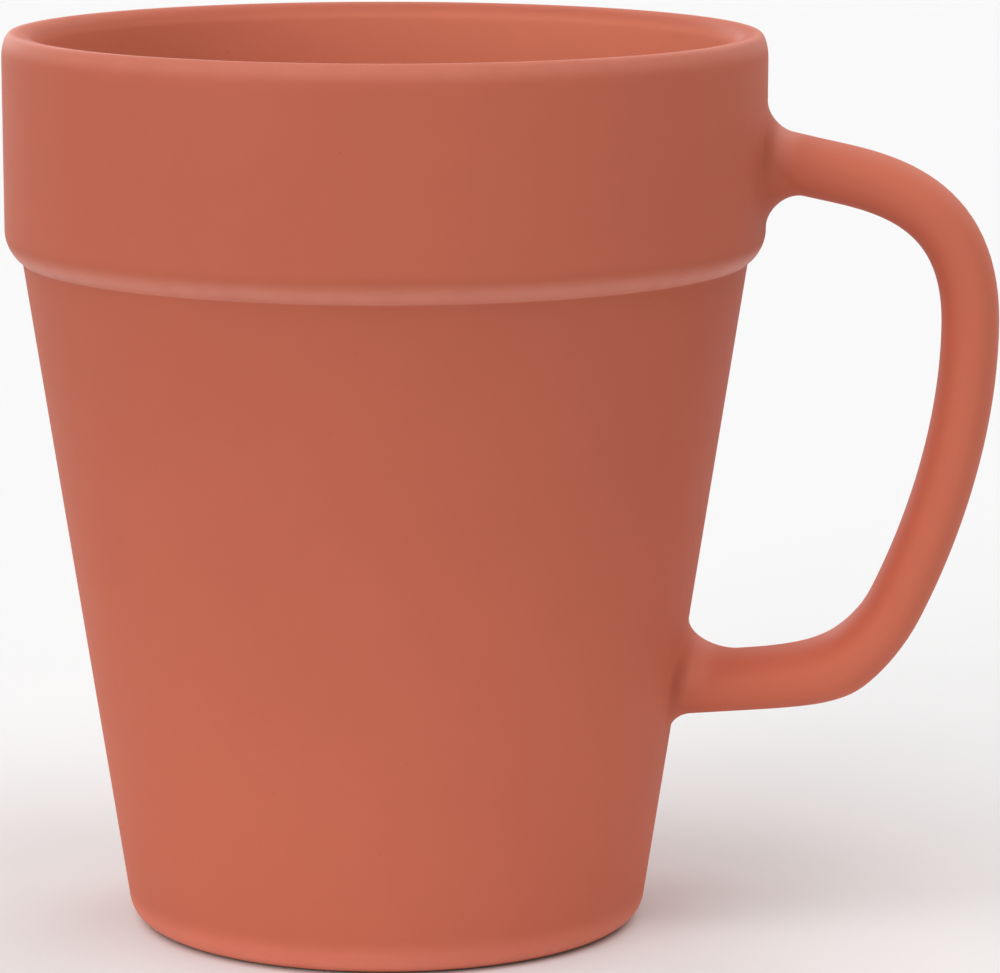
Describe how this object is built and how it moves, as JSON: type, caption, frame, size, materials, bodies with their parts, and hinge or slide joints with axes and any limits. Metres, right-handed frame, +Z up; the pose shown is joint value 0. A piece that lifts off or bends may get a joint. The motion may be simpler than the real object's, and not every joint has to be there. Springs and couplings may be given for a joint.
{
  "type": "mug",
  "caption": "Terracotta mug in flower-pot form: tapered wall, thick straight collar at the rim, foot ring and an ear-shaped handle joined with slip.",
  "frame": {"origin": "on the table, in the middle of the mug's footprint box, handle included; the mug's own axis is at x = -0.014175", "axes": "+X towards the handle, along the mug's longest side; +Z up, out of the mouth; -Z out of the foot ring, towards the table"},
  "size_m": [0.1214, 0.093, 0.11],
  "materials": {
    "glazed_terracotta": "satin"
  },
  "bodies": {
    "root": {"mug_body": "glazed_terracotta", "handle": "glazed_terracotta", "upper_slip_joint": "glazed_terracotta", "lower_slip_joint": "glazed_terracotta"}
  },
  "joints": []
}
